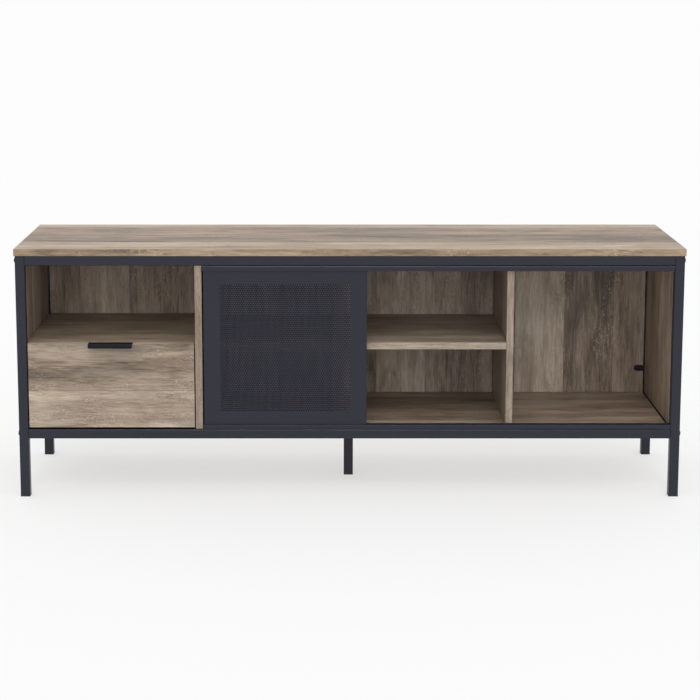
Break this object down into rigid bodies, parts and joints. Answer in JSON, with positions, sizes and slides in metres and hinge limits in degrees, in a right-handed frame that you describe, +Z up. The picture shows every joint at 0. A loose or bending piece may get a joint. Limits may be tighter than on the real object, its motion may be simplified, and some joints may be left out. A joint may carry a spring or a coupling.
{
  "type": "tv stand",
  "caption": "Low media stand with a square steel-tube frame, wood-grain boards, an open cubby over a drawer, a sliding perforated steel door and open shelved bays.",
  "frame": {"origin": "on the floor, under the middle of the stand's overall length and depth", "axes": "+X to the right along the stand's length, +Z up, and the front with the drawer and the door faces -Y"},
  "size_m": [1.526, 0.423, 0.579],
  "materials": {
    "laminate_horizontal": "grey-brown wood-grain laminate, satin, grain along the length",
    "laminate_vertical": "grey-brown wood-grain laminate, satin, grain upright",
    "powder_coat": "satin blue-black powder coat",
    "black_fastener": "satin black oxide",
    "black_plastic": "fine matte texture",
    "zinc_slide": "bright zinc plate",
    "drawer_board": "plain grey-brown melamine, matte"
  },
  "bodies": {
    "stand": {"back_panel_left": "laminate_vertical", "back_panel_middle": "laminate_vertical", "back_panel_right": "laminate_vertical", "back_panel_screw_left_lower": "black_fastener", "back_panel_screw_left_upper": "black_fastener", "back_panel_screw_right_lower": "black_fastener", "back_panel_screw_right_upper": "black_fastener", "bottom_panel": "laminate_horizontal", "bottom_track": "powder_coat", "centre_divider": "laminate_vertical", "centre_glide": "black_plastic", "centre_leg": "powder_coat", "cubby_shelf": "laminate_horizontal", "door_bay_shelf": "laminate_horizontal", "front_bottom_bolt_left": "black_fastener", "front_bottom_bolt_right": "black_fastener", "front_bottom_rail": "powder_coat", "front_left_glide": "black_plastic", "front_leg_left": "powder_coat", "front_leg_right": "powder_coat", "front_right_glide": "black_plastic", "front_top_bolt_left": "black_fastener", "front_top_bolt_right": "black_fastener", "front_top_rail": "powder_coat", "left_bottom_side_rail": "powder_coat", "left_divider": "laminate_vertical", "left_side_panel": "laminate_vertical", "left_top_side_rail": "powder_coat", "middle_shelf": "laminate_horizontal", "rear_bottom_bolt_left": "black_fastener", "rear_bottom_bolt_right": "black_fastener", "rear_bottom_rail": "powder_coat", "rear_left_glide": "black_plastic", "rear_leg_left": "powder_coat", "rear_leg_right": "powder_coat", "rear_right_glide": "black_plastic", "rear_top_bolt_left": "black_fastener", "rear_top_bolt_right": "black_fastener", "rear_top_rail": "powder_coat", "right_bottom_side_rail": "powder_coat", "right_divider": "laminate_vertical", "right_side_panel": "laminate_vertical", "right_top_side_rail": "powder_coat", "slide_rail_left": "zinc_slide", "slide_rail_right": "zinc_slide", "top_panel": "laminate_horizontal", "top_track": "powder_coat"},
    "door": {"door_bottom_pad_left": "black_plastic", "door_bottom_pad_right": "black_plastic", "door_panel": "powder_coat", "door_top_pad_left": "black_plastic", "door_top_pad_right": "black_plastic"},
    "drawer": {"drawer_back": "drawer_board", "drawer_base": "drawer_board", "drawer_front": "laminate_horizontal", "drawer_pull": "powder_coat", "drawer_side_left": "drawer_board", "drawer_side_right": "drawer_board", "slide_runner_left": "zinc_slide", "slide_runner_right": "zinc_slide"}
  },
  "joints": [
    {"name": "door_slide", "type": "slide", "parent": "stand", "child": "door", "axis": [1, 0, 0], "range_m": [0, 0.697]},
    {"name": "drawer_slide", "type": "slide", "parent": "stand", "child": "drawer", "axis": [0, -1, 0], "range_m": [0, 0.25]}
  ]
}
